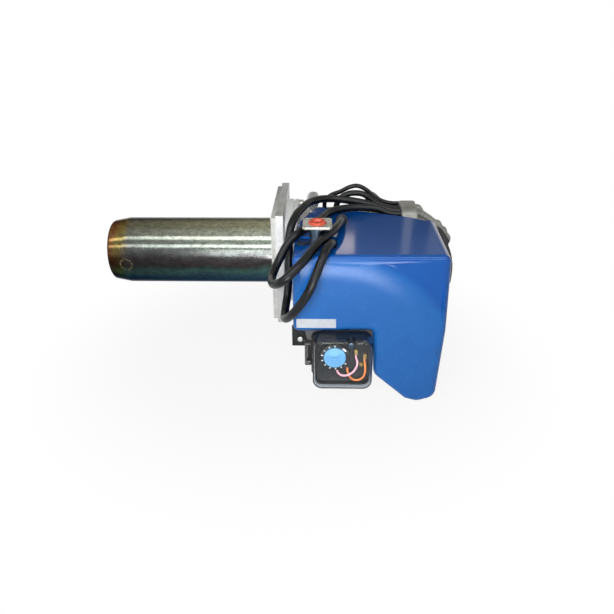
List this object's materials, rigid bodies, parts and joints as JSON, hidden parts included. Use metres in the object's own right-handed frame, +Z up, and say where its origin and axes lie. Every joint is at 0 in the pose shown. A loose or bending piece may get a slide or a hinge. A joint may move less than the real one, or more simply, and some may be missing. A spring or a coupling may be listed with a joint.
{
  "type": "burner assembly",
  "caption": "Forced-draught gas burner with a long round blast tube, square mounting flange, fan housing, blue hood, gas inlet and air pressure switch.",
  "frame": {"origin": "centre of the mounting flange's boiler side on the blast tube's axis", "axes": "-X along the blast tube into the boiler, +Z up, -Y towards the hood's near face and the pressure switch"},
  "size_m": [0.481, 0.305, 0.2279],
  "materials": {
    "zinc_tube": "yellow zinc passivated",
    "gasket_fibre": "matt",
    "cast_aluminium": "as cast",
    "zinc_steel": "bright zinc",
    "black_steel": "satin black",
    "grey_paint": "satin grey",
    "hood_blue": "gloss",
    "black_plastic": "satin",
    "light_plastic": "matt",
    "red_plastic": "gloss",
    "orange_plastic": "satin",
    "dial_blue": "satin",
    "clear_plastic": "clear",
    "brass": "machined",
    "electrode_ceramic": "glazed",
    "rubber": "matt",
    "cable_black": "satin",
    "wire_pink": "satin",
    "wire_orange": "satin",
    "plate_beige": "zinc",
    "tin": "drawn"
  },
  "bodies": {
    "burner": {"blast_tube": "zinc_tube", "flange_gasket": "gasket_fibre", "mounting_flange": "cast_aluminium", "collar_bolts": "zinc_steel", "fan_housing": "cast_aluminium", "motor_plate": "black_steel", "plate_screws": "zinc_steel", "motor_shield": "cast_aluminium", "motor_can": "grey_paint", "motor_end_cap": "cast_aluminium", "motor_bolts": "zinc_steel", "motor_bearings": "zinc_steel", "run_capacitor": "tin", "inlet_ring": "zinc_steel", "intake_cowl": "black_plastic", "cowl_screws": "zinc_steel", "cover_hood": "hood_blue", "hood_screws": "zinc_steel", "cable_grommet": "rubber", "control_shelf": "zinc_steel", "control_box": "black_plastic", "ignition_transformer": "black_plastic", "terminal_strip": "light_plastic", "gas_elbow": "cast_aluminium", "elbow_screws": "zinc_steel", "gas_plate": "plate_beige", "gas_pipe": "zinc_steel", "gas_head": "zinc_steel", "diffuser_plate": "zinc_steel", "electrode_clamp": "zinc_steel", "ignition_electrode": "electrode_ceramic", "ionisation_probe": "electrode_ceramic", "switch_pillars": "cast_aluminium", "switch_bracket": "black_steel", "bracket_screws": "zinc_steel", "switch_capsule": "zinc_steel", "switch_base": "black_plastic", "switch_body": "black_plastic", "switch_cover": "clear_plastic", "cover_screw": "zinc_steel", "dial_ring": "black_plastic", "switch_terminals": "brass", "switch_clip": "zinc_steel", "pressure_hose": "rubber", "wire_pink": "wire_pink", "wire_orange": "wire_orange", "cable_a": "cable_black", "cable_b": "cable_black", "cable_c": "cable_black", "cable_d": "cable_black"},
    "fan": {"motor_shaft": "zinc_steel", "motor_rotor": "zinc_steel", "impeller": "zinc_steel"},
    "damper": {"damper_flap": "zinc_steel", "damper_knob": "black_plastic"},
    "dial": {"switch_dial": "dial_blue"},
    "reset": {"reset_button": "red_plastic"},
    "plug": {"gas_plug": "orange_plastic"}
  },
  "joints": [
    {"name": "fan_spin", "type": "hinge", "parent": "burner", "child": "fan", "pos_m": [0.15, 0, -0.042], "axis": [0, 1, 0], "continuous": true},
    {"name": "damper_turn", "type": "hinge", "parent": "burner", "child": "damper", "pos_m": [0.15, 0.07, -0.084], "axis": [1, 0, 0], "range_deg": [0, 75]},
    {"name": "dial_turn", "type": "hinge", "parent": "burner", "child": "dial", "pos_m": [0.075, -0.185, -0.061], "axis": [0, 1, 0], "range_deg": [-60, 210]},
    {"name": "reset_press", "type": "slide", "parent": "burner", "child": "reset", "axis": [-1, 0, 0], "range_m": [0, 0.0025], "stiffness_N_per_m": 800, "springref_m": -0.001},
    {"name": "plug_pull", "type": "slide", "parent": "burner", "child": "plug", "axis": [0, 0, 1], "range_m": [0, 0.03]}
  ]
}
